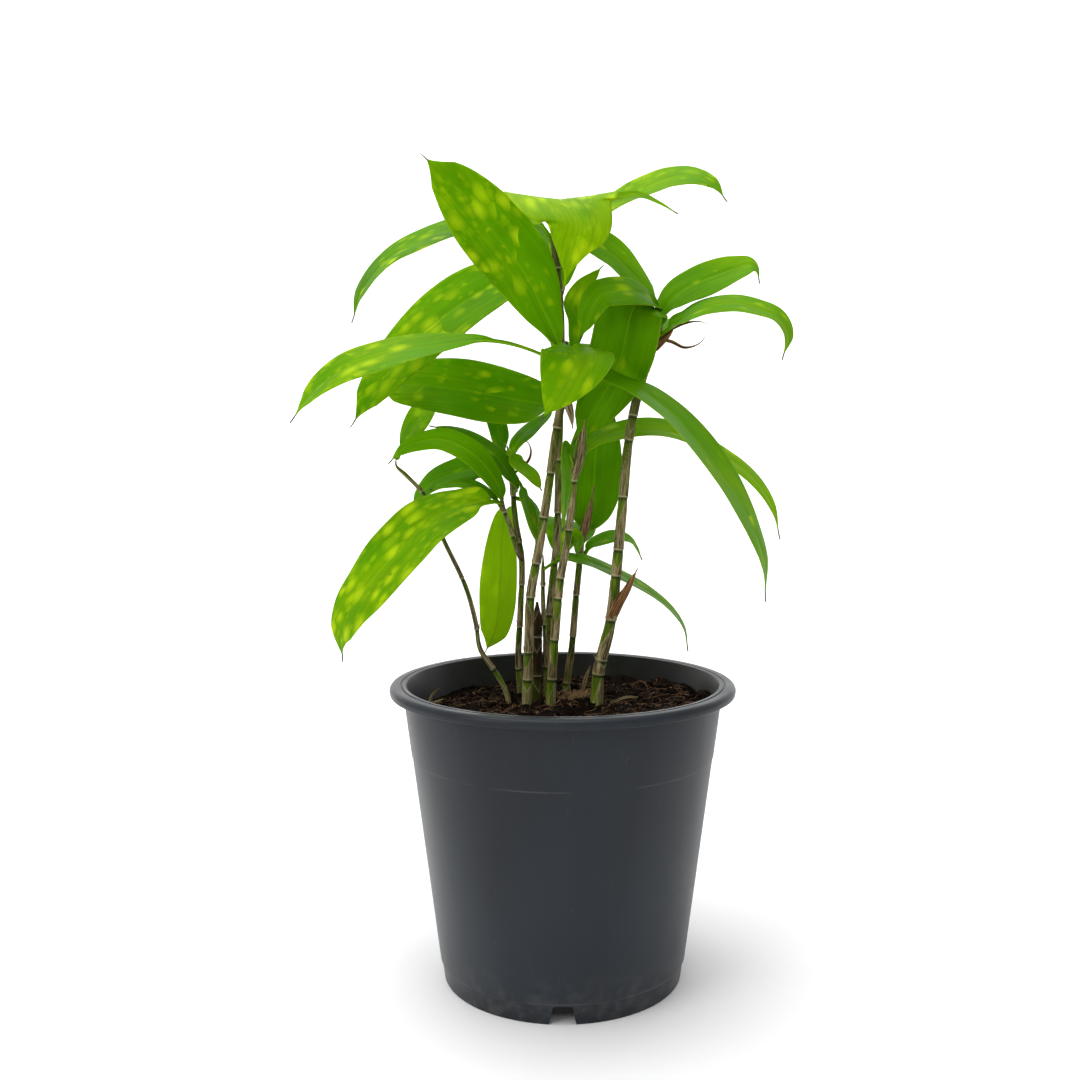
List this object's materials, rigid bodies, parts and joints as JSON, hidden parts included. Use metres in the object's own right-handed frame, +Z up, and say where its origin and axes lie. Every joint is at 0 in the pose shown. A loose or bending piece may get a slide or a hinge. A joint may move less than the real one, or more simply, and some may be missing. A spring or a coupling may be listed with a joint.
{
  "type": "gold dust dracaena in a pot",
  "caption": "Potted foliage plant: thin jointed canes with lance-shaped flecked leaves, standing in soil in a tapered plastic nursery pot.",
  "frame": {"origin": "middle of the whole plant's box, at the height of the pot's foot", "axes": "+Z up along the pot, -Y towards the side that faces the viewer"},
  "size_m": [0.245, 0.17, 0.4055],
  "materials": {
    "pot_plastic": "satin charcoal",
    "soil": "loose fibrous potting mix",
    "cane": "grey-tan jointed bark with green patches",
    "leaf": "glossy green with yellow-green flecks"
  },
  "bodies": {
    "root": {"cane_bent": "cane", "cane_forked": "cane", "cane_front": "cane", "cane_middle": "cane", "cane_rear": "cane", "cane_right": "cane", "cane_stub": "cane", "cane_tall": "cane", "cane_thin": "cane", "leaf_bent_1": "leaf", "leaf_branch_1": "leaf", "leaf_branch_2": "leaf", "leaf_branch_3": "leaf", "leaf_branch_4": "leaf", "leaf_branch_5": "leaf", "leaf_forked_1": "leaf", "leaf_forked_2": "leaf", "leaf_forked_3": "leaf", "leaf_forked_4": "leaf", "leaf_forked_5": "leaf", "leaf_forked_6": "leaf", "leaf_front_1": "leaf", "leaf_front_2": "leaf", "leaf_front_3": "leaf", "leaf_middle_1": "leaf", "leaf_middle_2": "leaf", "leaf_middle_3": "leaf", "leaf_middle_4": "leaf", "leaf_middle_5": "leaf", "leaf_rear_1": "leaf", "leaf_rear_2": "leaf", "leaf_rear_3": "leaf", "leaf_right_1": "leaf", "leaf_right_2": "leaf", "leaf_right_3": "leaf", "leaf_right_4": "leaf", "leaf_right_5": "leaf", "leaf_tall_1": "leaf", "leaf_tall_2": "leaf", "leaf_tall_3": "leaf", "leaf_tall_4": "leaf", "leaf_tall_5": "leaf", "leaf_tall_6": "leaf", "leaf_tall_7": "leaf", "leaf_tall_8": "leaf", "leaf_tall_9": "leaf", "leaf_thin_1": "leaf", "pot": "pot_plastic", "soil": "soil"}
  },
  "joints": []
}
